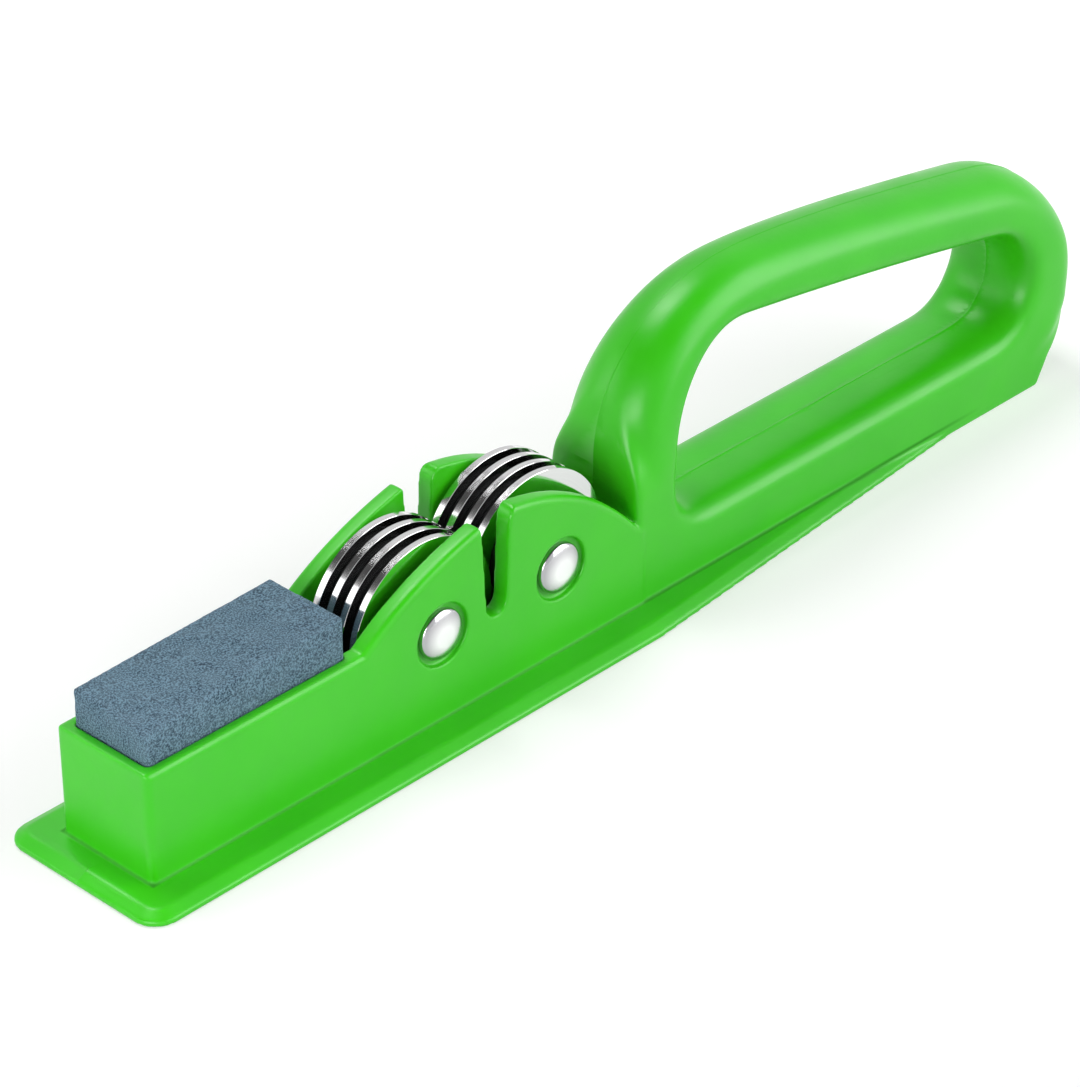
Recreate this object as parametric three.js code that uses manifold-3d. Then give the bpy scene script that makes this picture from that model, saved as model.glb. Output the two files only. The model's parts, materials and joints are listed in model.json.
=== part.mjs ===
// A roller knife sharpener. One moulded body holds a whetstone in a tray at the front, two interleaved
// sets of steel discs between slotted cheeks in the middle, and a loop handle at the rear.
// Millimetres, +Z up, +X from the whetstone to the handle. Lengths along X are measured from the front
// edge of the base, and the whole model is then set with its origin under the middle of its box.
import * as THREE from 'three';
import { mergeVertices } from 'three/addons/utils/BufferGeometryUtils.js';
import Module from 'manifold-3d';

// Base flange, a flat plate with a slanted edge that runs out into the handle's sides.
const flangeHalfWidth = 16.05;
const flangeEdgeLand = 0.8;
const flangeBevelHeight = 1.1;
const flangeBevelReach = 2.0;
const flangeCornerRadius = 4;
const flangeTaperStart = 102;
const flangeTaperEnd = 190;

// Housing with the stone's tray and the two cheeks.
const housingFront = 5.7;
const housingHalfWidth = 9.5;
const housingEdgeRound = 1.0;
const trayWallTop = 20.1;
const trayWall = 1.8;
const trayFloor = 6;
const trayCornerRadius = 0.8;
const partitionThickness = 2.6;
const partitionTop = 14;
const cheekStart = 46.8;
const cheekTop = 31.4;
const cheekThickness = 3.0;
const cheekFrontShoulder = new THREE.Vector2(57.4, 28.2);
const cheekRearShoulder = new THREE.Vector2(91, 31);
const cheekRearFoot = 16;
const cavityFloor = 1.6;

// Slot for the blade, wider at its mouth.
const slotCentre = 73.5;
const slotMouthHalfWidth = 2.8;
const slotRootHalfWidth = 2.1;
const slotBottom = 14.4;
const slotFrontLipRound = 1.8;
const slotRearLipRound = 3.2;

// Loop handle, with its bars measured on the centre plane.
const handleFront = 103.8;
const handleHalfWidth = 9.3;
const handleRoundAcross = 8.5;
const handleRoundDeep = 5.2;
const handleTaperStart = 24;
const handleTopHalfWidth = 6.8;
const handleRear = 210.6;
const handleHeight = 48.4;
const crestSetback = 28.2;
const handleFrontStraight = 24;
const frontBendDrop = 10.4;
const crestReach = 15;
const rearBendInset = 18.6;
const rearBendDrop = 8.4;
const rearBulgeHeight = 19;
const heelInset = 10.2;
const heelHeight = 9;
const frontLeg = 10.2;
const topBar = 8.9;
const topBarAtBend = 10.0;
const rearLeg = 13.7;
const lowerBar = 12.1;
const loopFrontRadius = 7;
const loopCornerReach = 16;
const loopRoundAcross = 5.6;
const loopRoundDeep = 2.6;
const topBarSlope = 0.19;

// Feet of the handle's two legs, where the outer edges are still square and then fade into the round bar.
const rootSquareTop = 18;
const rootFadeTop = 38;
const heelSquareTop = 3;
const heelFadeTop = 15;
const footEdgeRound = 0.8;

// Whetstone.
const stoneSideClearance = 0.15;
const stoneFloorGap = 0.1;
const stoneTopFront = 25.9;
const stoneTopRear = 26.8;
const stoneEdgeRound = 0.8;

// Discs and what carries them.
const axleMiddle = 74.7;
const axleSpacing = 24.5;
const axleHeight = 16.2;
const discRadius = 13.9;
const discEdgeBevel = 0.2;
const discsPerSet = 4;
const discSideClearance = 0.25;
const discEndClearance = 1.0;
const washerThickness = 0.825;
const hubRadius = 4.5;
const hubSeatClearance = 0.08;
const spacerRimClearance = 0.4;
const endRingRadius = 7.5;
const stackGap = 0.05;
const endPlay = 0.15;

// Two-part rivets.
const rivetSleeveRadius = 2.5;
const rivetPinRadius = 1.5;
const rivetPinClearance = 0.06;
const rivetRunningClearance = 0.15;
const rivetHoleClearance = 0.1;
const rivetHeadRadius = 4.1;
const rivetHeadRim = 0.5;
const rivetDome = 1.1;
const rivetHeadGap = 0.05;
const rivetPinLength = 13;
const rivetTipGap = 0.5;
const recessRadius = 5.1;
const recessDepth = 1.0;

// How far a cutting or trimmed shape runs past the surface it meets.
const overrun = 8;

// Facets round a full turn, along a drawn curve, round a corner and over a rounded edge.
const discSegments = 48;
const roundSegments = 24;
const curveSegments = 14;
const cornerSegments = 6;
const barSegments = 6;
const edgeSegments = 3;
const smallEdgeSegments = 2;

const overallLength = handleRear;
const cheekInner = housingHalfWidth - cheekThickness;
const trayInner = housingHalfWidth - trayWall;
const frontAxle = axleMiddle - axleSpacing / 2;
const rearAxle = axleMiddle + axleSpacing / 2;
const spacerRadius = axleSpacing - discRadius - spacerRimClearance;
const cavityFront = frontAxle - discRadius - discEndClearance;
const trayFront = housingFront + trayWall;
const trayRear = cavityFront - partitionThickness;
const recessFloor = housingHalfWidth - recessDepth;
const handleCrest = handleFront + crestSetback;
const rearBend = new THREE.Vector2(handleRear - rearBendInset, handleHeight - rearBendDrop);
const frontBendTop = handleHeight - frontBendDrop;
const heelEnd = handleRear - heelInset;
const heelLean = heelInset / rearBulgeHeight;
const loopRearRadius = (rearBend.y - topBarAtBend - lowerBar) / 2;
const tallest = handleHeight + overrun;

// The two sets fill the width between the cheeks. A disc of one set passes midway between two discs of
// the other, and each set has its thin end washer on the side to which it is offset.
const hubEnd = cheekInner - endPlay;
const discPitch = 2 * (hubEnd - washerThickness - stackGap + discSideClearance / 2) / discsPerSet;
const discThickness = discPitch / 2 - discSideClearance;

const colours = {
  body: { color: 0x4cc02a, roughness: 0.38, metalness: 0 },
  stone: { color: 0x66798f, roughness: 0.95, metalness: 0 },
  steel: { color: 0xc6c8ca, roughness: 0.18, metalness: 1 },
  spacer: { color: 0x151617, roughness: 0.6, metalness: 0 },
  rivet: { color: 0xd4d6d8, roughness: 0.15, metalness: 1 },
};

const wasm = await Module();
wasm.setup();

// Turns a closed geometry into a solid that can be joined and cut.
function solidOf(geometry) {
  const bare = geometry.index ? geometry.toNonIndexed() : geometry.clone();
  bare.deleteAttribute('normal');
  bare.deleteAttribute('uv');
  const welded = mergeVertices(bare, 1e-4);
  return new wasm.Manifold(new wasm.Mesh({
    numProp: 3,
    vertProperties: new Float32Array(welded.attributes.position.array),
    triVerts: new Uint32Array(welded.index.array),
  }));
}

function geometryOf(solid) {
  const mesh = solid.getMesh();
  const geometry = new THREE.BufferGeometry();
  geometry.setAttribute('position', new THREE.BufferAttribute(new Float32Array(mesh.vertProperties), 3));
  geometry.setIndex(new THREE.BufferAttribute(new Uint32Array(mesh.triVerts), 1));
  geometry.computeVertexNormals();
  return geometry;
}

// Extrudes an outline drawn in X and Z across the part, to the same half width on both sides of the
// centre plane, with its edges rounded by `deep` in the outline and `across` over the width.
function extrudeAcross(outline, halfWidth, deep, across, segments) {
  const depth = 2 * (halfWidth - across);
  const geometry = new THREE.ExtrudeGeometry(outline, {
    depth,
    curveSegments,
    bevelEnabled: deep > 0,
    bevelSize: deep,
    bevelOffset: -deep,
    bevelThickness: across,
    bevelSegments: segments,
  });
  geometry.translate(0, 0, -depth / 2);
  geometry.rotateX(Math.PI / 2);
  return geometry;
}

// A ring or a disc about the Y axis, from its radii and its two faces.
function ring(inner, outer, low, high, edgeBevel, segments) {
  const points = [
    new THREE.Vector2(inner, low),
    new THREE.Vector2(outer - edgeBevel, low),
    new THREE.Vector2(outer, low + edgeBevel),
    new THREE.Vector2(outer, high - edgeBevel),
    new THREE.Vector2(outer - edgeBevel, high),
    new THREE.Vector2(inner, high),
    new THREE.Vector2(inner, low),
  ];
  const profile = points.filter((point, i) => i === 0 || point.distanceTo(points[i - 1]) > 0);
  return new THREE.LatheGeometry(profile, segments);
}

// A cylinder about an axle, for the rivet holes and their recesses.
function plugAcross(radius, low, high, axle) {
  const geometry = new THREE.CylinderGeometry(radius, radius, high - low, roundSegments);
  geometry.translate(axle, (low + high) / 2, axleHeight);
  return geometry;
}

function boxBetween(low, high) {
  const geometry = new THREE.BoxGeometry(high.x - low.x, high.y - low.y, high.z - low.z);
  geometry.translate((low.x + high.x) / 2, (low.y + high.y) / 2, (low.z + high.z) / 2);
  return geometry;
}

function flangePlate() {
  const r = flangeCornerRadius;
  const side = flangeHalfWidth;
  const runOut = handleHalfWidth - flangeBevelReach / 2;
  const outline = new THREE.Shape();
  outline.moveTo(r, -side);
  outline.lineTo(flangeTaperStart, -side);
  outline.lineTo(flangeTaperEnd, -runOut);
  outline.lineTo(flangeTaperEnd, runOut);
  outline.lineTo(flangeTaperStart, side);
  outline.lineTo(r, side);
  outline.absarc(r, side - r, r, Math.PI / 2, Math.PI, false);
  outline.absarc(r, r - side, r, Math.PI, 1.5 * Math.PI, false);
  return new THREE.ExtrudeGeometry(outline, {
    depth: flangeEdgeLand,
    curveSegments: cornerSegments,
    bevelSize: flangeBevelReach,
    bevelOffset: -flangeBevelReach,
    bevelThickness: flangeBevelHeight,
    bevelSegments: 1,
  });
}

// Side outline of the tray walls and the cheeks, which rise to a crest over the blade slot.
function housingBlock() {
  const rear = handleFront + housingEdgeRound + footEdgeRound;
  const outline = new THREE.Shape();
  outline.moveTo(housingFront, -overrun);
  outline.lineTo(rear, -overrun);
  outline.lineTo(rear, cheekRearFoot - housingEdgeRound);
  outline.lineTo(handleFront, cheekRearFoot);
  outline.quadraticCurveTo(cheekRearShoulder.x, cheekRearShoulder.y, slotCentre, cheekTop);
  outline.quadraticCurveTo(cheekFrontShoulder.x, cheekFrontShoulder.y, cheekStart, trayWallTop);
  outline.lineTo(housingFront, trayWallTop);
  return extrudeAcross(outline, housingHalfWidth, housingEdgeRound, housingEdgeRound, edgeSegments);
}

// Outer outline of the handle: up the front, over the crest, round the rear bend and in to the heel.
function handleOutline() {
  const outline = new THREE.Shape();
  outline.moveTo(handleFront, -overrun);
  outline.lineTo(heelEnd - heelLean * overrun, -overrun);
  outline.lineTo(heelEnd + heelLean * heelHeight, heelHeight);
  outline.quadraticCurveTo(handleRear, (heelHeight + rearBulgeHeight) / 2, handleRear, rearBulgeHeight);
  const bendReach = (handleRear - rearBend.x) / 2;
  const barReach = (rearBend.x - handleCrest) / 4;
  outline.bezierCurveTo(
    handleRear, (rearBulgeHeight + rearBend.y) / 2,
    rearBend.x + bendReach, rearBend.y - topBarSlope * bendReach,
    rearBend.x, rearBend.y,
  );
  outline.bezierCurveTo(
    rearBend.x - barReach, rearBend.y + topBarSlope * barReach,
    handleCrest + barReach, handleHeight,
    handleCrest, handleHeight,
  );
  outline.bezierCurveTo(
    handleCrest - crestReach, handleHeight,
    handleFront, frontBendTop,
    handleFront, handleFrontStraight,
  );
  return outline;
}

// The opening for the fingers: round at the rear, tall at the front.
function fingerLoop() {
  const front = handleFront + frontLeg;
  const rear = handleRear - rearLeg - loopRearRadius;
  const topFront = front + loopCornerReach;
  const topFrontHeight = handleHeight - topBar;
  const turn = Math.PI / 2 - Math.atan(topBarSlope);
  const arcEnd = new THREE.Vector2(
    rear + loopRearRadius * Math.cos(turn),
    lowerBar + loopRearRadius * (1 + Math.sin(turn)),
  );
  const middle = (rear + topFront) / 2;
  const middleHeight = arcEnd.y + topBarSlope * (arcEnd.x - middle);
  const frontSlope = (topFrontHeight - middleHeight) / (middle - topFront);
  const loop = new THREE.Path();
  loop.moveTo(front + loopFrontRadius, lowerBar);
  loop.absarc(rear, lowerBar + loopRearRadius, loopRearRadius, -Math.PI / 2, turn, false);
  loop.quadraticCurveTo(middle, middleHeight, topFront, topFrontHeight);
  const cornerEase = loopCornerReach / 2;
  loop.bezierCurveTo(
    topFront - cornerEase, topFrontHeight + frontSlope * cornerEase,
    front, topFrontHeight - cornerEase,
    front, lowerBar + loopFrontRadius,
  );
  loop.quadraticCurveTo(front, lowerBar, front + loopFrontRadius, lowerBar);
  return loop;
}

// The opening as a cutter that flares towards both sides, so that the bars it leaves have rounded edges.
function fingerLoopCutter() {
  const depth = 2 * (handleHalfWidth - loopRoundAcross);
  const geometry = new THREE.ExtrudeGeometry(new THREE.Shape(fingerLoop().getPoints(curveSegments)), {
    depth,
    bevelSize: -loopRoundDeep,
    bevelOffset: loopRoundDeep,
    bevelThickness: loopRoundAcross,
    bevelSegments: barSegments,
  });
  geometry.translate(0, 0, -depth / 2);
  geometry.rotateX(Math.PI / 2);
  return geometry;
}

// Square-edged foot of one leg, between two places along X. A roof-shaped trim lets its edges fade into
// the round bar.
function legFoot(from, to, squareTop, fadeTop) {
  const outline = handleOutline();
  const block = extrudeAcross(outline, handleHalfWidth, footEdgeRound, footEdgeRound, smallEdgeSegments);
  const midHeight = (squareTop + fadeTop) / 2;
  const roof = new THREE.Shape();
  roof.moveTo(-housingHalfWidth, -overrun);
  roof.lineTo(housingHalfWidth, -overrun);
  roof.lineTo(housingHalfWidth, squareTop);
  roof.quadraticCurveTo(handleHalfWidth, midHeight, 0, fadeTop);
  roof.quadraticCurveTo(-handleHalfWidth, midHeight, -housingHalfWidth, squareTop);
  const trim = new THREE.ExtrudeGeometry(roof, { depth: to - from, curveSegments, bevelEnabled: false });
  trim.rotateX(Math.PI / 2);
  trim.rotateZ(Math.PI / 2);
  trim.translate(from, 0, 0);
  return solidOf(block).intersect(solidOf(trim));
}

// The whole handle. Above the taper's start its width shrinks evenly towards the top.
function makeHandle() {
  const outline = handleOutline();
  const outer = extrudeAcross(outline, handleHalfWidth, handleRoundDeep, handleRoundAcross, barSegments);
  const root = legFoot(handleFront - overrun, handleFront + frontLeg / 2, rootSquareTop, rootFadeTop);
  const heelFront = handleRear - rearLeg - loopRearRadius;
  const heel = legFoot(heelFront, handleRear + overrun, heelSquareTop, heelFadeTop);
  const handle = solidOf(outer).add(root).add(heel).subtract(solidOf(fingerLoopCutter()));
  const narrowing = (1 - handleTopHalfWidth / handleHalfWidth) / (handleHeight - handleTaperStart);
  const lower = handle.trimByPlane([0, 0, -1], -handleTaperStart);
  const upper = handle.trimByPlane([0, 0, 1], handleTaperStart).warp((point) => {
    point[1] *= 1 - narrowing * (point[2] - handleTaperStart);
  });
  return lower.add(upper);
}

function trayPocket() {
  const r = trayCornerRadius;
  const outline = new THREE.Shape();
  outline.moveTo(trayFront + r, -trayInner);
  outline.absarc(trayRear - r, r - trayInner, r, -Math.PI / 2, 0, false);
  outline.absarc(trayRear - r, trayInner - r, r, 0, Math.PI / 2, false);
  outline.absarc(trayFront + r, trayInner - r, r, Math.PI / 2, Math.PI, false);
  outline.absarc(trayFront + r, r - trayInner, r, Math.PI, 1.5 * Math.PI, false);
  const pocket = new THREE.ExtrudeGeometry(outline, {
    depth: trayWallTop - trayFloor + overrun,
    curveSegments: cornerSegments,
    bevelEnabled: false,
  });
  pocket.translate(0, 0, trayFloor);
  return pocket;
}

function discCavity() {
  return boxBetween(
    new THREE.Vector3(cavityFront, -cheekInner, cavityFloor),
    new THREE.Vector3(handleFront - footEdgeRound, cheekInner, tallest),
  );
}

// Gap above the low partition between the tray and the disc cavity.
function partitionGap() {
  return boxBetween(
    new THREE.Vector3(trayRear - partitionThickness, -cheekInner, partitionTop),
    new THREE.Vector3(cavityFront + partitionThickness, cheekInner, tallest),
  );
}

// Tapered slot with a round bottom and a rounded mouth, cut through both cheeks.
function bladeSlot() {
  const root = slotBottom + slotRootHalfWidth;
  const front = slotCentre - slotMouthHalfWidth;
  const rear = slotCentre + slotMouthHalfWidth;
  const outline = new THREE.Shape();
  outline.moveTo(front - slotFrontLipRound, tallest);
  outline.lineTo(front - slotFrontLipRound, cheekTop);
  outline.quadraticCurveTo(front, cheekTop, front, cheekTop - slotFrontLipRound);
  outline.lineTo(slotCentre - slotRootHalfWidth, root);
  outline.absarc(slotCentre, root, slotRootHalfWidth, Math.PI, 2 * Math.PI, false);
  outline.lineTo(rear, cheekTop - slotRearLipRound);
  outline.quadraticCurveTo(rear, cheekTop, rear + slotRearLipRound, cheekTop);
  outline.lineTo(rear + slotRearLipRound, tallest);
  return extrudeAcross(outline, housingHalfWidth + overrun, 0, 0, 0);
}

function makeBody() {
  const outside = housingHalfWidth + overrun;
  const bodySpace = boxBetween(
    new THREE.Vector3(-overrun, -flangeHalfWidth - overrun, 0),
    new THREE.Vector3(overallLength + overrun, flangeHalfWidth + overrun, tallest),
  );
  let body = solidOf(housingBlock())
    .subtract(solidOf(trayPocket()))
    .subtract(solidOf(discCavity()))
    .subtract(solidOf(partitionGap()))
    .subtract(solidOf(bladeSlot()));
  for (const axle of [frontAxle, rearAxle]) {
    const hole = rivetSleeveRadius + rivetHoleClearance;
    body = body.subtract(solidOf(plugAcross(hole, -outside, outside, axle)));
    body = body.subtract(solidOf(plugAcross(recessRadius, recessFloor, outside, axle)));
    body = body.subtract(solidOf(plugAcross(recessRadius, -outside, -recessFloor, axle)));
  }
  body = body
    .add(makeHandle())
    .add(solidOf(flangePlate()))
    .intersect(solidOf(bodySpace));
  return geometryOf(body);
}

function makeWhetstone() {
  const front = trayFront + stoneSideClearance;
  const rear = trayRear - stoneSideClearance;
  const outline = new THREE.Shape();
  outline.moveTo(front, trayFloor + stoneFloorGap);
  outline.lineTo(rear, trayFloor + stoneFloorGap);
  outline.lineTo(rear, stoneTopRear);
  outline.lineTo(front, stoneTopFront);
  const halfWidth = trayInner - stoneSideClearance;
  return extrudeAcross(outline, halfWidth, stoneEdgeRound, stoneEdgeRound, smallEdgeSegments);
}

// Near half of a rivet: a domed head on the -Y side and a solid pin that goes into the sleeve.
function makeRivetPin() {
  const seat = -recessFloor - rivetHeadGap;
  const rim = seat - rivetHeadRim;
  const tip = seat + rivetPinLength;
  const points = [
    new THREE.Vector2(0, tip),
    new THREE.Vector2(rivetPinRadius, tip),
    new THREE.Vector2(rivetPinRadius, seat),
    new THREE.Vector2(rivetHeadRadius, seat),
    ...domePoints(rim, -1),
  ];
  return new THREE.LatheGeometry(points.reverse(), roundSegments);
}

// Far half of a rivet: a domed head on the +Y side and the tube that the disc set turns on.
function makeRivetSleeve() {
  const seat = recessFloor + rivetHeadGap;
  const rim = seat + rivetHeadRim;
  const bore = rivetPinRadius + rivetPinClearance;
  const boreEnd = rivetPinLength - recessFloor + rivetTipGap;
  const mouth = -recessFloor + rivetHeadGap;
  const points = [
    new THREE.Vector2(0, boreEnd),
    new THREE.Vector2(bore, boreEnd),
    new THREE.Vector2(bore, mouth),
    new THREE.Vector2(rivetSleeveRadius, mouth),
    new THREE.Vector2(rivetSleeveRadius, seat),
    new THREE.Vector2(rivetHeadRadius, seat),
    ...domePoints(rim, 1),
  ];
  return new THREE.LatheGeometry(points, roundSegments);
}

// Quarter-ellipse profile of a rivet's head, from its rim to the axis.
function domePoints(rim, direction) {
  const steps = 4;
  const points = [];
  for (let i = 0; i <= steps; i += 1) {
    const angle = (i / steps) * Math.PI / 2;
    const radius = i === steps ? 0 : rivetHeadRadius * Math.cos(angle);
    points.push(new THREE.Vector2(radius, rim + direction * rivetDome * Math.sin(angle)));
  }
  return points;
}

const sharpener = new THREE.Group();
sharpener.position.x = -overallLength / 2;

function addPiece(name, geometry, colour, x = 0, z = 0) {
  const mesh = new THREE.Mesh(geometry, new THREE.MeshStandardMaterial(colours[colour]));
  mesh.name = name;
  mesh.position.set(x, 0, z);
  sharpener.add(mesh);
}

// One disc set about the axle at x. Its discs are half a half-pitch off the centre plane, to the given
// side, so that the discs of the two sets pass between each other.
function addDiscSet(set, x, side) {
  const place = (name, geometry, colour) => addPiece(`${set}_${name}`, geometry, colour, x, axleHeight);
  const seatRadius = hubRadius + hubSeatClearance;
  const middle = side * discPitch / 4;
  const firstDisc = middle - discPitch * (discsPerSet - 1) / 2;
  place('rivet_pin', makeRivetPin(), 'rivet');
  place('rivet_sleeve', makeRivetSleeve(), 'rivet');
  const hubBore = rivetSleeveRadius + rivetRunningClearance;
  place('hub', ring(hubBore, hubRadius, -hubEnd, hubEnd, 0, roundSegments), 'spacer');
  for (let i = 0; i < discsPerSet; i += 1) {
    const low = firstDisc + i * discPitch - discThickness / 2;
    const high = low + discThickness;
    place(`disc_${i + 1}`, ring(seatRadius, discRadius, low, high, discEdgeBevel, discSegments), 'steel');
    if (i < discsPerSet - 1) {
      const spacerEnd = low + discPitch - stackGap;
      const spacer = ring(seatRadius, spacerRadius, high + stackGap, spacerEnd, 0, roundSegments);
      place(`spacer_${i + 1}`, spacer, 'spacer');
    }
  }
  const nearFace = firstDisc - discThickness / 2 - stackGap;
  const farFace = firstDisc + (discsPerSet - 1) * discPitch + discThickness / 2 + stackGap;
  const nearName = side < 0 ? 'near_washer' : 'near_collar';
  const farName = side < 0 ? 'far_collar' : 'far_washer';
  place(nearName, ring(seatRadius, endRingRadius, -hubEnd, nearFace, 0, roundSegments), 'spacer');
  place(farName, ring(seatRadius, endRingRadius, farFace, hubEnd, 0, roundSegments), 'spacer');
}

addPiece('body', makeBody(), 'body');
addPiece('whetstone', makeWhetstone(), 'stone');
addDiscSet('front', frontAxle, -1);
addDiscSet('rear', rearAxle, 1);

export default sharpener;
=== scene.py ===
import json
import math

import bmesh
import bpy
from mathutils import Matrix, Vector, noise


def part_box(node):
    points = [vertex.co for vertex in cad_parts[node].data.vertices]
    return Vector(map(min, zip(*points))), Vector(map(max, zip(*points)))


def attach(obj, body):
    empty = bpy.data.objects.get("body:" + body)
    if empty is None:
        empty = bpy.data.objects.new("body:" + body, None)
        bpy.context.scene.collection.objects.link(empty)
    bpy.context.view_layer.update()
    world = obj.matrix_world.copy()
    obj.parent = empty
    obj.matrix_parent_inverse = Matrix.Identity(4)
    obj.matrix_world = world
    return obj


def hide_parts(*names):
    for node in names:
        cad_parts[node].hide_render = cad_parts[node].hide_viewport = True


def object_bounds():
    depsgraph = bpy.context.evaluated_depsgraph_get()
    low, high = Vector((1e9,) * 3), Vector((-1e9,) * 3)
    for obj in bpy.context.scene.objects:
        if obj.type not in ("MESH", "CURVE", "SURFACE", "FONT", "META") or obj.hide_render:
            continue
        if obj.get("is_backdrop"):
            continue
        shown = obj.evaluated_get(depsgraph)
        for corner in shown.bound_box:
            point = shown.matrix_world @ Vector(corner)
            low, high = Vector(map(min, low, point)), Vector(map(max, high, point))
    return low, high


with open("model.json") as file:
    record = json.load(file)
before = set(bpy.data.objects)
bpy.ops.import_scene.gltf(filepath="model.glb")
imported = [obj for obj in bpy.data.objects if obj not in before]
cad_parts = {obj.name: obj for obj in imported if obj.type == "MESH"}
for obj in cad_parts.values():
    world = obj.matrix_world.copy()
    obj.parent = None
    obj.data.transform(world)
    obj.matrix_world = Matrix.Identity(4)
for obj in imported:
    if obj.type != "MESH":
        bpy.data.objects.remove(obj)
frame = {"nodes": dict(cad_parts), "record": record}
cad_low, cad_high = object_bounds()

scene = bpy.context.scene
MM = 0.001

# Body: one injection moulding in satin green plastic, with base flange, stone tray, slotted cheeks and
# loop handle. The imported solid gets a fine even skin, which is laid back on it and relaxed, so that the
# edges get the small rounding of a moulding and the handle's bars turn fully smooth.
weld_distance = 0.001 * MM
skin_pitch = 0.25 * MM
edge_relaxing = 12
bar_relaxing = 220
body_triangles = 190000
# From where the handle's bars and its front leg are relaxed, and over what length that fades in.
bar_start = 3 * MM
bar_fade = 7 * MM
bar_foot = 2.6 * MM
bar_foot_fade = 2 * MM
leg_start = -3 * MM
leg_foot = 19 * MM
leg_foot_fade = 8 * MM
# The heel: how far its hollow is pushed out, how little it is relaxed, and how it is filled.
heel_start = cad_high.x - 14 * MM
heel_start_fade = 8 * MM
heel_fill = 2.0 * MM
heel_fill_height = 10 * MM
heel_fill_reach = 9 * MM
heel_corner_fill = 1.2 * MM
heel_corner_reach = 6 * MM
heel_foot = 12 * MM
heel_foot_fade = 8 * MM
heel_relaxing_share = 0.3
heel_filling = 300
heel_filling_low = 3 * MM
heel_filling_top = 24 * MM
# Parting line along the handle, and gate mark on the flange's front edge.
seam_half_width = 0.16 * MM
seam_height = 0.09 * MM
seam_start = -1.5 * MM
seam_foot = 3 * MM
seam_cut_snap = 0.002 * MM
seam_ridge_reach = 0.01 * MM
gate_mark_end = cad_low.x + 3 * MM
gate_mark_foot = 0.5 * MM
# The plastic, and the painted shade in the corner where the housing meets the flange: a dark, dull line.
plastic_green = (0.040, 0.54, 0.004)
plastic_green_deep = (0.032, 0.49, 0.003)
# Colour of the painted shade in that corner.
foot_shade_green = (0.012, 0.20, 0.001)
foot_height = 1.9 * MM
foot_half_width = 9.5 * MM
foot_front = cad_low.x + 5.7 * MM
foot_line_fade = 66 * MM
foot_line_rear = 80 * MM
foot_line_core = 0.1 * MM
foot_line_edge = 0.5 * MM
foot_shade_strength = 0.8
foot_line_dulling = 0.5
plastic_cloud_scale = 60
plastic_sheen_scale = 180
plastic_roughness = (0.30, 0.40)
plastic_peel_scale = 900
plastic_peel_depth = 0.02 * MM
plastic_peel_strength = 0.25
plastic_ior = 1.49
# Cloudy variation that every finish uses at its own scale.
mottle_detail = 3
mottle_least = 0.3
mottle_most = 0.7


def add_object(name, mesh):
    piece = bpy.data.objects.new(name, mesh)
    scene.collection.objects.link(piece)
    return piece


def welded_copy(node, name):
    mesh = frame["nodes"][node].data.copy()
    mesh.materials.clear()
    work = bmesh.new()
    work.from_mesh(mesh)
    bmesh.ops.remove_doubles(work, verts=work.verts, dist=weld_distance)
    work.to_mesh(mesh)
    work.free()
    return add_object(name, mesh)


def apply_modifiers(piece):
    graph = bpy.context.evaluated_depsgraph_get()
    mesh = bpy.data.meshes.new_from_object(piece.evaluated_get(graph))
    piece.modifiers.clear()
    piece.data = mesh


def ramp(value, start, length):
    return min(max((value - start) / length, 0.0), 1.0)


def triangles(mesh):
    return sum(len(face.vertices) - 2 for face in mesh.polygons)


def smooth_hump(value, middle, reach):
    level = 1 - ramp(abs(value - middle), 0, reach)
    return level * level * (3 - 2 * level)


def fill_heel(piece):
    """Pushes out the hollow of the handle's rear end, where its rounding runs into the square foot."""
    heel = [(vert, vert.normal.copy()) for vert in piece.data.vertices if vert.co.x > heel_start]
    for vert, normal in heel:
        # 1 on the upright corners, which face as much to the rear as to a side.
        on_corner = 2 * max(normal.x, 0) * abs(normal.y)
        corner_push = heel_corner_fill * on_corner
        corner_push *= smooth_hump(vert.co.z, heel_fill_height, heel_corner_reach)
        rear_push = heel_fill * smooth_hump(vert.co.z, heel_fill_height, heel_fill_reach)
        vert.co.x += rear_push * ramp(vert.co.x, heel_start, heel_start_fade)
        vert.co += corner_push * Vector((normal.x, normal.y, 0))


def fill_heel_hollows(piece):
    """Draws what is still hollow at the heel level with its surroundings, and leaves its edges alone."""
    work = bmesh.new()
    work.from_mesh(piece.data)
    rings = []
    for vert in work.verts:
        if vert.co.x > heel_start and heel_filling_low < vert.co.z < heel_filling_top:
            rings.append((vert, vert.normal.copy(), [edge.other_vert(vert) for edge in vert.link_edges]))
    for _ in range(heel_filling):
        for vert, outward, ring in rings:
            middle = sum((other.co for other in ring), Vector()) / len(ring)
            if outward.dot(middle - vert.co) > 0:
                vert.co = middle
    work.to_mesh(piece.data)
    work.free()


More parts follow.
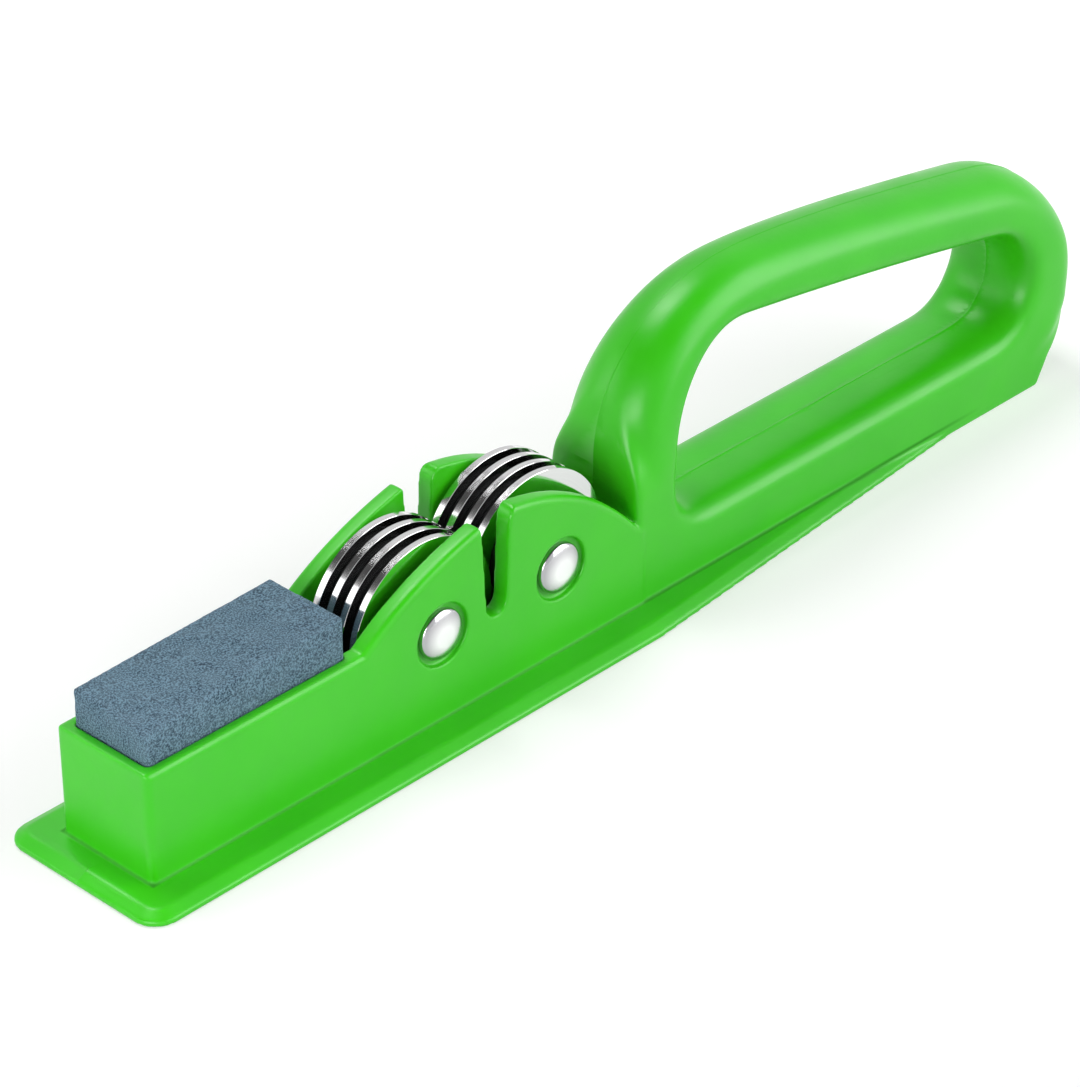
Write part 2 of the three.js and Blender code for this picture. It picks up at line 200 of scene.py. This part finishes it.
def reskin(piece, node):
    solid = welded_copy(node, "solid_to_lay_on")
    skin = piece.modifiers.new("skin", "REMESH")
    skin.mode = "VOXEL"
    skin.voxel_size = skin_pitch
    lay = piece.modifiers.new("lay", "SHRINKWRAP")
    lay.wrap_method = "NEAREST_SURFACEPOINT"
    lay.target = solid
    apply_modifiers(piece)
    bpy.data.objects.remove(solid)
    fill_heel(piece)
    fill_heel_hollows(piece)
    bars = piece.vertex_groups.new(name="bars")
    for vert in piece.data.vertices:
        share = ramp(vert.co.x, bar_start, bar_fade) * ramp(vert.co.z, bar_foot, bar_foot_fade)
        if vert.co.x > leg_start:
            share = max(share, ramp(vert.co.z, leg_foot, leg_foot_fade))
        if vert.co.x > heel_start:
            above_foot = ramp(vert.co.z, heel_foot, heel_foot_fade)
            share *= heel_relaxing_share + (1 - heel_relaxing_share) * above_foot
        if share > 0:
            bars.add([vert.index], share, "REPLACE")
    relax = piece.modifiers.new("relax", "SMOOTH")
    relax.iterations = edge_relaxing
    relax_bars = piece.modifiers.new("relax_bars", "SMOOTH")
    relax_bars.iterations = bar_relaxing
    relax_bars.vertex_group = bars.name
    thin = piece.modifiers.new("thin", "DECIMATE")
    thin.ratio = min(1.0, body_triangles / triangles(piece.data))
    apply_modifiers(piece)
    piece.vertex_groups.clear()


def raise_parting_line(piece):
    work = bmesh.new()
    work.from_mesh(piece.data)
    for offset in (-seam_half_width, 0, seam_half_width):
        bmesh.ops.bisect_plane(
            work,
            geom=[*work.verts, *work.edges, *work.faces],
            plane_co=(0, offset, 0),
            plane_no=(0, 1, 0),
            dist=seam_cut_snap,
        )
    work.normal_update()
    for vert in work.verts:
        on_handle = vert.co.x > seam_start and vert.co.z > seam_foot
        on_gate_mark = vert.co.x < gate_mark_end and vert.co.z > gate_mark_foot
        if abs(vert.co.y) < seam_ridge_reach and (on_handle or on_gate_mark):
            vert.co += vert.normal * seam_height
    work.to_mesh(piece.data)
    work.free()


def new_material(name):
    material = bpy.data.materials.new(name)
    material.use_nodes = True
    return material


def add_node(tree, kind, **values):
    node = tree.nodes.new(kind)
    for name, value in values.items():
        setattr(node, name, value)
    return node


def make_mottle_group():
    group = bpy.data.node_groups.new("mottle", "ShaderNodeTree")
    for name, kind in (("Vector", "NodeSocketVector"), ("Scale", "NodeSocketFloat"),
                       ("Low", "NodeSocketFloat"), ("High", "NodeSocketFloat")):
        group.interface.new_socket(name=name, in_out="INPUT", socket_type=kind)
    group.interface.new_socket(name="Value", in_out="OUTPUT", socket_type="NodeSocketFloat")
    inside = add_node(group, "NodeGroupInput")
    outside = add_node(group, "NodeGroupOutput")
    grain = add_node(group, "ShaderNodeTexNoise")
    grain.inputs["Detail"].default_value = mottle_detail
    spread = add_node(group, "ShaderNodeMapRange")
    spread.inputs["From Min"].default_value = mottle_least
    spread.inputs["From Max"].default_value = mottle_most
    group.links.new(inside.outputs["Vector"], grain.inputs["Vector"])
    group.links.new(inside.outputs["Scale"], grain.inputs["Scale"])
    group.links.new(grain.outputs["Fac"], spread.inputs["Value"])
    group.links.new(inside.outputs["Low"], spread.inputs["To Min"])
    group.links.new(inside.outputs["High"], spread.inputs["To Max"])
    group.links.new(spread.outputs["Result"], outside.inputs["Value"])
    return group


mottle = make_mottle_group()


def add_mottle(tree, coordinates, scale, low, high):
    node = add_node(tree, "ShaderNodeGroup", node_tree=mottle)
    node.inputs["Scale"].default_value = scale
    node.inputs["Low"].default_value = low
    node.inputs["High"].default_value = high
    tree.links.new(coordinates, node.inputs["Vector"])
    return node.outputs["Value"]


def add_colour_mix(tree, factor, first, second):
    """First is a socket or a colour, and second is a colour."""
    mix = add_node(tree, "ShaderNodeMix", data_type="RGBA")
    if isinstance(first, bpy.types.NodeSocket):
        tree.links.new(first, mix.inputs["A"])
    else:
        mix.inputs["A"].default_value = (*first, 1)
    mix.inputs["B"].default_value = (*second, 1)
    tree.links.new(factor, mix.inputs["Factor"])
    return mix.outputs["Result"]


def add_bump(tree, height, distance, strength):
    bump = add_node(tree, "ShaderNodeBump")
    bump.inputs["Distance"].default_value = distance
    bump.inputs["Strength"].default_value = strength
    tree.links.new(height, bump.inputs["Height"])
    return bump.outputs["Normal"]


def add_fade(tree, value, start, end, before=1, after=0):
    """Goes evenly from one level, up to the start, to the other, from the end on."""
    fade = add_node(tree, "ShaderNodeMapRange")
    fade.inputs["From Min"].default_value = start
    fade.inputs["From Max"].default_value = end
    fade.inputs["To Min"].default_value = before
    fade.inputs["To Max"].default_value = after
    tree.links.new(value, fade.inputs["Value"])
    return fade.outputs["Result"]


def add_math(tree, operation, first, second=0):
    """Second is a socket or a number, where the operation takes one."""
    node = add_node(tree, "ShaderNodeMath", operation=operation)
    tree.links.new(first, node.inputs[0])
    if isinstance(second, bpy.types.NodeSocket):
        tree.links.new(second, node.inputs[1])
    else:
        node.inputs[1].default_value = second
    return node.outputs["Value"]


def add_foot_line(tree, place):
    """Mask of the painted shade: 1 in the hollow edge between the housing and the flange, and 0 a little
    away from it.
    """
    split = add_node(tree, "ShaderNodeSeparateXYZ")
    tree.links.new(place, split.inputs["Vector"])
    across = add_math(tree, "ABSOLUTE", split.outputs["Y"])
    above = add_math(tree, "ABSOLUTE", add_math(tree, "SUBTRACT", split.outputs["Z"], foot_height))
    ahead = add_math(tree, "MULTIPLY", split.outputs["X"], -1)
    near_side = add_fade(tree, across, foot_half_width + foot_line_core, foot_half_width + foot_line_edge)
    near_top = add_fade(tree, above, foot_line_core, foot_line_edge)
    near_front = add_fade(tree, ahead, foot_line_core - foot_front, foot_line_edge - foot_front)
    near_flange = add_fade(tree, split.outputs["X"], foot_line_fade, foot_line_rear)
    along = add_math(tree, "MULTIPLY", near_front, near_flange)
    return add_math(tree, "MULTIPLY", add_math(tree, "MULTIPLY", near_side, near_top), along)


def make_green_plastic():
    material = new_material("satin_green_plastic")
    tree = material.node_tree
    shader = tree.nodes["Principled BSDF"]
    place = add_node(tree, "ShaderNodeTexCoord").outputs["Object"]
    cloud = add_mottle(tree, place, plastic_cloud_scale, 0, 1)
    colour = add_colour_mix(tree, cloud, plastic_green, plastic_green_deep)
    # The foot line darkens the colour with painted shade in the crease, and makes it rougher there as well.
    foot_line = add_foot_line(tree, place)
    foot_shade_amount = add_math(tree, "MULTIPLY", foot_line, foot_shade_strength)
    sheen = add_mottle(tree, place, plastic_sheen_scale, *plastic_roughness)
    dulling = add_math(tree, "MULTIPLY", foot_line, foot_line_dulling)
    peel = add_mottle(tree, place, plastic_peel_scale, 0, 1)
    relief = add_bump(tree, peel, plastic_peel_depth, plastic_peel_strength)
    tree.links.new(add_colour_mix(tree, foot_shade_amount, colour, foot_shade_green), shader.inputs["Base Color"])
    tree.links.new(add_math(tree, "ADD", sheen, dulling), shader.inputs["Roughness"])
    tree.links.new(relief, shader.inputs["Normal"])
    shader.inputs["IOR"].default_value = plastic_ior
    return material


body = welded_copy("body", "body_moulding")
reskin(body, "body")
raise_parting_line(body)
body.data.shade_smooth()
body.data.materials.append(make_green_plastic())
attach(body, "holder")
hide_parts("body")

# Whetstone: a block of blue-grey bonded abrasive, glued into the tray. Its top falls a little to the front,
# its edges are chipped, its near front corner is worn down, and its skin is rough with grit of mixed greys.
stone_dip = 0.9 * MM
stone_edge = 0.45 * MM
stone_edge_segments = 3
# Chips along the edges, grit all over, and the worn corner.
stone_chip = 0.12 * MM
stone_grit = 0.04 * MM
stone_cell = 0.5 * MM
stone_cut_snap = 0.01 * MM
chip_scale = 400
fine_chip_scale = 1100
fine_chip_share = 0.5
pale_chip_start = -0.2
pale_chip_spread = 0.8
pale_chip_share = 0.5
grit_scale = 2600
worn_corner_depth = 1.0 * MM
worn_corner_length = 20 * MM
worn_corner_width = 13 * MM
worn_corner_foot = 20 * MM
worn_corner_fade = 5 * MM
# Colours and finish of the grit.
stone_dark = (0.012, 0.030, 0.055)
stone_light = (0.15, 0.265, 0.345)
stone_edge_pale = (0.17, 0.27, 0.34)
grain_scale = 3800
grain_levels = (-0.4, 1.4)
grain_depth = 0.1 * MM
grain_strength = 0.6
stone_cloud_scale = 300
stone_cloud_levels = (0, 0.3)
stone_sheen_scale = 1200
stone_roughness = (0.8, 1)


def make_stone_mesh(low, high):
    work = bmesh.new()
    bmesh.ops.create_cube(work, size=1)
    bmesh.ops.scale(work, vec=high - low, verts=work.verts)
    middle = (low + high) / 2
    bmesh.ops.translate(work, vec=middle, verts=work.verts)
    front_top = [vert for vert in work.verts if vert.co.x < middle.x and vert.co.z > middle.z]
    bmesh.ops.translate(work, vec=(0, 0, -stone_dip), verts=front_top)
    bmesh.ops.bevel(
        work, geom=work.edges, offset=stone_edge, offset_type="OFFSET", affect="EDGES",
        segments=stone_edge_segments, profile=0.5, material=-1,
    )
    for axis in range(3):
        normal = Vector((0, 0, 0))
        normal[axis] = 1
        for step in range(1, int((high[axis] - low[axis]) / stone_cell)):
            bmesh.ops.bisect_plane(
                work,
                geom=[*work.verts, *work.edges, *work.faces],
                plane_co=low + normal * (step * stone_cell),
                plane_no=normal,
                dist=stone_cut_snap,
            )
    work.normal_update()
    wear = work.verts.layers.float.new("wear")
    for vert in work.verts:
        to_faces = sorted(min(vert.co[i] - low[i], high[i] - vert.co[i]) for i in range(3))
        near_edge = 1 - ramp(to_faces[1], 0, 2 * stone_edge)
        chips = noise.noise(vert.co * chip_scale) + fine_chip_share * noise.noise(vert.co * fine_chip_scale)
        grit = noise.noise(vert.co * grit_scale)
        vert[wear] = pale_chip_share * near_edge * ramp(chips, pale_chip_start, pale_chip_spread)
        worn = 1 - ramp(vert.co.x, low.x, worn_corner_length)
        worn *= 1 - ramp(vert.co.y, low.y, worn_corner_width)
        worn *= ramp(vert.co.z, worn_corner_foot, worn_corner_fade)
        vert.co += vert.normal * (stone_grit * grit - stone_chip * near_edge * max(chips, 0))
        vert.co.z -= worn_corner_depth * worn
    mesh = bpy.data.meshes.new("whetstone_block")
    work.to_mesh(mesh)
    work.free()
    return mesh


def make_stone_material():
    material = new_material("bonded_grit")
    tree = material.node_tree
    shader = tree.nodes["Principled BSDF"]
    place = add_node(tree, "ShaderNodeTexCoord").outputs["Object"]
    grains = add_mottle(tree, place, grain_scale, *grain_levels)
    clouds = add_mottle(tree, place, stone_cloud_scale, *stone_cloud_levels)
    colour = add_colour_mix(tree, grains, stone_dark, stone_light)
    worn = add_node(tree, "ShaderNodeAttribute", attribute_name="wear")
    amount = add_node(tree, "ShaderNodeMath", operation="ADD", use_clamp=True)
    tree.links.new(worn.outputs["Fac"], amount.inputs[0])
    tree.links.new(clouds, amount.inputs[1])
    paler = add_colour_mix(tree, amount.outputs["Value"], colour, stone_edge_pale)
    sheen = add_mottle(tree, place, stone_sheen_scale, *stone_roughness)
    tree.links.new(paler, shader.inputs["Base Color"])
    tree.links.new(sheen, shader.inputs["Roughness"])
    tree.links.new(add_bump(tree, grains, grain_depth, grain_strength), shader.inputs["Normal"])
    return material


stone = add_object("whetstone_block", make_stone_mesh(*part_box("whetstone")))
stone.data.shade_smooth()
stone.data.materials.append(make_stone_material())
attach(stone, "holder")
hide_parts("whetstone")

# Disc sets: polished steel discs and black moulded rings, stacked by turns on a black hub. Each set turns
# as one on its rivet, and the discs of one set pass between those of the other.
disc_edge = 0.05 * MM
ring_edge = 0.12 * MM
disc_steps = 160
ring_steps = 72
rim_share = 0.98
rim_lean = 0.5
sharp_edge = math.radians(40)
rim_bright = (0.82, 0.82, 0.82)
rim_deep = (0.52, 0.52, 0.53)
face_bright = (0.78, 0.78, 0.78)
face_deep = (0.70, 0.70, 0.71)
ring_black = (0.012, 0.012, 0.013)
ring_black_dusty = (0.022, 0.022, 0.023)
face_roughness = (0.05, 0.09)
rim_roughness = (0.10, 0.16)
ring_roughness = (0.5, 0.7)
face_mark_depth = 0.002 * MM
rim_mark_depth = 0.004 * MM
turning_mark_scale = 5000
turning_mark_detail = 4
turning_mark_strength = 0.3
steel_sheen_scale = 400
ring_dust_scale = 500
ring_sheen_scale = 900


def turned_mesh(name, profile, axle, steps):
    """Turns (radius, y) points about the axle along Y. A profile that starts on the axle stays open."""
    work = bmesh.new()
    points = [work.verts.new((axle.x + radius, y, axle.z)) for radius, y in profile]
    edges = [work.edges.new((points[i - 1], points[i])) for i in range(1, len(points))]
    if profile[0][0] > 0:
        edges.append(work.edges.new((points[-1], points[0])))
    bmesh.ops.spin(
        work, geom=[*points, *edges], cent=(axle.x, 0, axle.z), axis=(0, 1, 0),
        angle=math.tau, steps=steps, use_merge=True,
    )
    bmesh.ops.remove_doubles(work, verts=work.verts, dist=weld_distance)
    bmesh.ops.recalc_face_normals(work, faces=work.faces)
    mesh = bpy.data.meshes.new(name)
    work.to_mesh(mesh)
    work.free()
    return mesh


def ring_profile(inner, outer, low, high, edge):
    return [
        (inner, low), (outer - edge, low), (outer, low + edge),
        (outer, high - edge), (outer - edge, high), (inner, high),
    ]


def add_axle_place(tree, axle):
    """Distance from the axle, and place along it."""
    place = add_node(tree, "ShaderNodeTexCoord").outputs["Object"]
    centred = add_node(tree, "ShaderNodeMapping")
    centred.inputs["Location"].default_value = (-axle.x, 0, -axle.z)
    split = add_node(tree, "ShaderNodeSeparateXYZ")
    flat = add_node(tree, "ShaderNodeCombineXYZ")
    reach = add_node(tree, "ShaderNodeVectorMath", operation="LENGTH")
    tree.links.new(place, centred.inputs["Vector"])
    tree.links.new(centred.outputs["Vector"], split.inputs["Vector"])
    tree.links.new(split.outputs["X"], flat.inputs["X"])
    tree.links.new(split.outputs["Z"], flat.inputs["Z"])
    tree.links.new(flat.outputs["Vector"], reach.inputs[0])
    return reach.outputs["Value"], split.outputs["Y"]


def add_turning_marks(tree, axle):
    """Fine rings about the axle, as grinding leaves them on a turned face and along its rim."""
    reach, along = add_axle_place(tree, axle)
    lines = add_node(tree, "ShaderNodeCombineXYZ")
    grain = add_node(tree, "ShaderNodeTexNoise")
    grain.inputs["Scale"].default_value = turning_mark_scale
    grain.inputs["Detail"].default_value = turning_mark_detail
    tree.links.new(reach, lines.inputs["X"])
    tree.links.new(along, lines.inputs["Y"])
    tree.links.new(lines.outputs["Vector"], grain.inputs["Vector"])
    return grain.outputs["Fac"]


def make_disc_steel(name, axle, deep, bright, roughness, mark_depth):
    material = new_material(name)
    tree = material.node_tree
    shader = tree.nodes["Principled BSDF"]
    marks = add_turning_marks(tree, axle)
    colour = add_colour_mix(tree, marks, deep, bright)
    place = add_node(tree, "ShaderNodeTexCoord").outputs["Object"]
    tree.links.new(colour, shader.inputs["Base Color"])
    tree.links.new(add_mottle(tree, place, steel_sheen_scale, *roughness), shader.inputs["Roughness"])
    tree.links.new(add_bump(tree, marks, mark_depth, turning_mark_strength), shader.inputs["Normal"])
    shader.inputs["Metallic"].default_value = 1
    return material


def make_ring_black():
    material = new_material("matt_black_ring")
    tree = material.node_tree
    shader = tree.nodes["Principled BSDF"]
    place = add_node(tree, "ShaderNodeTexCoord").outputs["Object"]
    dust = add_mottle(tree, place, ring_dust_scale, 0, 1)
    sheen = add_mottle(tree, place, ring_sheen_scale, *ring_roughness)
    tree.links.new(add_colour_mix(tree, dust, ring_black, ring_black_dusty), shader.inputs["Base Color"])
    tree.links.new(sheen, shader.inputs["Roughness"])
    return material


black_rings = make_ring_black()


def add_turned(node, profile, axle, steps, materials, body_name):
    """Adds a turned piece in place of a node. Of two materials, the second is for its rim."""
    name = node + "_turned"
    piece = add_object(name, turned_mesh(name, profile, axle, steps))
    for material in materials:
        piece.data.materials.append(material)
    piece.data.shade_smooth()
    piece.data.set_sharp_from_angle(angle=sharp_edge)
    for face in piece.data.polygons:
        is_rim = math.hypot(face.center.x - axle.x, face.center.z - axle.z) > rim_share * profile[1][0]
        if is_rim and abs(face.normal.y) < rim_lean:
            face.material_index = len(materials) - 1
    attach(piece, body_name)
    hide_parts(node)


def axle_of(node):
    low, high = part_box(node)
    return (low + high) / 2


def bore_radius(node):
    """Radius of a ring's bore, from the vertex of its solid that is nearest to its axle."""
    axle = axle_of(node)
    return min(math.hypot(v.co.x - axle.x, v.co.z - axle.z) for v in frame["nodes"][node].data.vertices)


for set_name in ("front", "rear"):
    body_name = set_name + "_set"
    axle = axle_of(set_name + "_hub")
    face_steel = make_disc_steel(
        set_name + "_disc_face", axle, face_deep, face_bright, face_roughness, face_mark_depth,
    )
    rim_steel = make_disc_steel(
        set_name + "_disc_rim", axle, rim_deep, rim_bright, rim_roughness, rim_mark_depth,
    )
    for node in frame["record"]["behaviour"]["bodies"][body_name]:
        low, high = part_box(node)
        is_disc = "_disc_" in node
        edge = disc_edge if is_disc else ring_edge
        profile = ring_profile(bore_radius(node), (high.x - low.x) / 2, low.y, high.y, edge)
        add_turned(
            node, profile, axle,
            disc_steps if is_disc else ring_steps,
            (face_steel, rim_steel) if is_disc else (black_rings,),
            body_name,
        )

# Rivets: two-part rivets of bright metal that carry the disc sets. Each has a polished domed head in the
# recess of either cheek, and the pin of the near half goes into the sleeve of the far one.
rivet_dome = 1.1 * MM
rivet_rim = 0.5 * MM
rivet_pin_radius = 1.5 * MM
rivet_bore_radius = 1.56 * MM
rivet_sleeve_radius = 2.5 * MM
rivet_bore_end = 5 * MM
rivet_dome_steps = 12
rivet_steps = 96
# The head's colour runs from a painted highlight on its crown to painted shade at its rim.
rivet_painted_highlight = (0.96, 0.96, 0.97)
rivet_painted_shade = (0.48, 0.48, 0.50)
rivet_crown_radius = 1.6 * MM
rivet_shade_radius = 3.6 * MM
rivet_sheen_scale = 1500
rivet_roughness = (0.14, 0.22)


def dome_profile(radius, rim, crown):
    """Quarter ellipse of a rivet's head, from its rim to the axle."""
    dome = []
    for step in range(rivet_dome_steps + 1):
        turn = math.tau / 4 * step / rivet_dome_steps
        dome.append((radius * math.cos(turn), rim + (crown - rim) * math.sin(turn)))
    dome[-1] = (0, crown)
    return dome


def make_rivet_metal(name, axle):
    """Painted highlight on the crown of the head, and painted shade towards its rim."""
    material = new_material(name)
    tree = material.node_tree
    shader = tree.nodes["Principled BSDF"]
    reach, _ = add_axle_place(tree, axle)
    crown = add_fade(tree, reach, rivet_crown_radius, rivet_shade_radius)
    tree.links.new(add_colour_mix(tree, crown, rivet_painted_shade, rivet_painted_highlight), shader.inputs["Base Color"])
    place = add_node(tree, "ShaderNodeTexCoord").outputs["Object"]
    sheen = add_mottle(tree, place, rivet_sheen_scale, *rivet_roughness)
    tree.links.new(sheen, shader.inputs["Roughness"])
    shader.inputs["Metallic"].default_value = 1
    return material


for set_name in ("front", "rear"):
    pin, sleeve = set_name + "_rivet_pin", set_name + "_rivet_sleeve"
    pin_axle = axle_of(pin)
    rivet_metal = make_rivet_metal(set_name + "_rivet_metal", pin_axle)
    low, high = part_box(pin)
    head_radius = (high.x - low.x) / 2
    rim = low.y + rivet_dome
    seat = rim + rivet_rim
    pin_profile = [(0, high.y), (rivet_pin_radius, high.y), (rivet_pin_radius, seat), (head_radius, seat)]
    pin_profile += dome_profile(head_radius, rim, low.y)
    add_turned(pin, pin_profile, pin_axle, rivet_steps, (rivet_metal,), "holder")
    low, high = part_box(sleeve)
    rim = high.y - rivet_dome
    seat = rim - rivet_rim
    sleeve_profile = [
        (0, rivet_bore_end), (rivet_bore_radius, rivet_bore_end), (rivet_bore_radius, low.y),
        (rivet_sleeve_radius, low.y), (rivet_sleeve_radius, seat), (head_radius, seat),
    ]
    sleeve_profile += dome_profile(head_radius, rim, high.y)
    sleeve_axle = axle_of(sleeve)
    add_turned(sleeve, sleeve_profile, sleeve_axle, rivet_steps, (rivet_metal,), "holder")

# Floor and surround: a plain white table in a white studio, with four soft boxes. The table adds a fill to
# what the camera and polished metal see of it, which grows with the distance from a point before the object,
# so that it is white all over and keeps the soft shadow under the object.
floor_size = 4
floor_drop = 0.05 * MM
floor_white = (0.6, 0.6, 0.6, 1)
near_fill = 0.345
far_fill = 1.0
fill_centre = (-0.12, -0.14, 0)
fill_start = 0.08
fill_end = 0.90
wall_light = 0.22
ceiling_light = 0.08
wall_grey = 0.9
ceiling_grey = 0.06
ceiling_lean = (-0.25, 0, 1)
ceiling_start = 0.60
ceiling_end = 0.80


def add_light_path_mask(tree):
    """1 for what the camera, polished metal and clear parts see, and 0 for light that falls on things."""
    path = add_node(tree, "ShaderNodeLightPath").outputs
    camera_or_gloss = add_math(tree, "MAXIMUM", path["Is Camera Ray"], path["Is Glossy Ray"])
    return add_math(tree, "MAXIMUM", camera_or_gloss, path["Is Transmission Ray"])


def make_floor():
    work = bmesh.new()
    bmesh.ops.create_grid(work, x_segments=1, y_segments=1, size=floor_size / 2)
    bmesh.ops.translate(work, vec=(0, 0, -floor_drop), verts=work.verts)
    mesh = bpy.data.meshes.new("table")
    work.to_mesh(mesh)
    work.free()
    material = new_material("white_table")
    tree = material.node_tree
    tree.nodes.remove(tree.nodes["Principled BSDF"])
    matt = add_node(tree, "ShaderNodeBsdfDiffuse")
    matt.inputs["Color"].default_value = floor_white
    fill = add_node(tree, "ShaderNodeEmission")
    place = add_node(tree, "ShaderNodeTexCoord").outputs["Object"]
    reach = add_node(tree, "ShaderNodeVectorMath", operation="DISTANCE")
    reach.inputs[1].default_value = fill_centre
    tree.links.new(place, reach.inputs[0])
    level = add_fade(tree, reach.outputs["Value"], fill_start, fill_end, near_fill, far_fill)
    both = add_node(tree, "ShaderNodeAddShader")
    tree.links.new(add_math(tree, "MULTIPLY", add_light_path_mask(tree), level), fill.inputs["Strength"])
    tree.links.new(matt.outputs["BSDF"], both.inputs[0])
    tree.links.new(fill.outputs["Emission"], both.inputs[1])
    tree.links.new(both.outputs["Shader"], tree.nodes["Material Output"].inputs["Surface"])
    mesh.materials.append(material)
    add_object("table", mesh)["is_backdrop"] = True


def make_surround():
    world = bpy.data.worlds.new("white_studio")
    world.use_nodes = True
    tree = world.node_tree
    background = tree.nodes["Background"]
    background.inputs["Color"].default_value = (1, 1, 1, 1)
    direction = add_node(tree, "ShaderNodeTexCoord").outputs["Generated"]
    height = add_node(tree, "ShaderNodeVectorMath", operation="DOT_PRODUCT")
    height.inputs[1].default_value = ceiling_lean
    tree.links.new(direction, height.inputs[0])

    def add_room(wall, ceiling):
        room = add_node(tree, "ShaderNodeMapRange", interpolation_type="SMOOTHSTEP")
        room.inputs["From Min"].default_value = ceiling_start
        room.inputs["From Max"].default_value = ceiling_end
        room.inputs["To Min"].default_value = wall
        room.inputs["To Max"].default_value = ceiling
        tree.links.new(height.outputs["Value"], room.inputs["Value"])
        return room.outputs["Result"]

    path = add_node(tree, "ShaderNodeLightPath").outputs
    mirrored = add_node(tree, "ShaderNodeMix", data_type="FLOAT")
    level = add_node(tree, "ShaderNodeMix", data_type="FLOAT")
    level.inputs["B"].default_value = 1
    seen = add_math(tree, "MAXIMUM", path["Is Camera Ray"], path["Is Transmission Ray"])
    tree.links.new(path["Is Glossy Ray"], mirrored.inputs["Factor"])
    tree.links.new(add_room(wall_light, ceiling_light), mirrored.inputs["A"])
    tree.links.new(add_room(wall_grey, ceiling_grey), mirrored.inputs["B"])
    tree.links.new(seen, level.inputs["Factor"])
    tree.links.new(mirrored.outputs["Result"], level.inputs["A"])
    tree.links.new(level.outputs["Result"], background.inputs["Strength"])
    scene.world = world


def add_soft_box(name, place, aim, size, watts):
    lamp = bpy.data.lights.new(name, "AREA")
    lamp.shape = "RECTANGLE"
    lamp.size, lamp.size_y = size
    lamp.energy = watts
    box = add_object(name, lamp)
    box.location = place
    box.rotation_euler = (Vector(aim) - Vector(place)).to_track_quat("-Z", "Y").to_euler()


make_floor()
make_surround()
add_soft_box("front_box", place=(0.60, -0.80, 0.50), aim=(0, 0, 0.02), size=(1.0, 0.9), watts=10.8)
add_soft_box("end_box", place=(-0.33, -0.10, 0.11), aim=(-0.1, 0, 0.01), size=(0.2, 0.15), watts=0.62)
add_soft_box("top_box", place=(0, 0.45, 1.10), aim=(0, 0, 0.02), size=(0.5, 0.5), watts=7)
add_soft_box("left_box", place=(-0.63, 0.59, 0.37), aim=(-0.04, 0, 0.02), size=(0.35, 0.37), watts=0.8)

# Camera: a long lens at the angle of the photograph, worked out from the object's straight edges in it.
# The view is shifted a little, as the photograph is cropped off centre.
frame_height = 1087
focal_pixels = 4499.9
view_turn = math.radians(-46.185)
view_rise = math.radians(31.852)
view_roll = math.radians(-0.171)
view_distance = 676.7 * MM
view_centre = Vector((-5.3, -0.2, 15)) * MM
crop_right = 37.16
crop_down = -24.21

lens = bpy.data.cameras.new("camera")
lens.sensor_width = 36
lens.lens = lens.sensor_width * focal_pixels / frame_height
lens.shift_x = -crop_right / frame_height
lens.shift_y = crop_down / frame_height
camera = add_object("camera", lens)
back = Vector((
    math.sin(view_turn) * math.cos(view_rise),
    -math.cos(view_turn) * math.cos(view_rise),
    math.sin(view_rise),
))
facing = (-back).to_track_quat("-Z", "Y").to_matrix()
camera.matrix_world = (
    Matrix.Translation(view_centre + back * view_distance)
    @ (facing @ Matrix.Rotation(view_roll, 3, "Z")).to_4x4()
)
scene.camera = camera
scene.view_settings.view_transform = "Standard"

low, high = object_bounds()
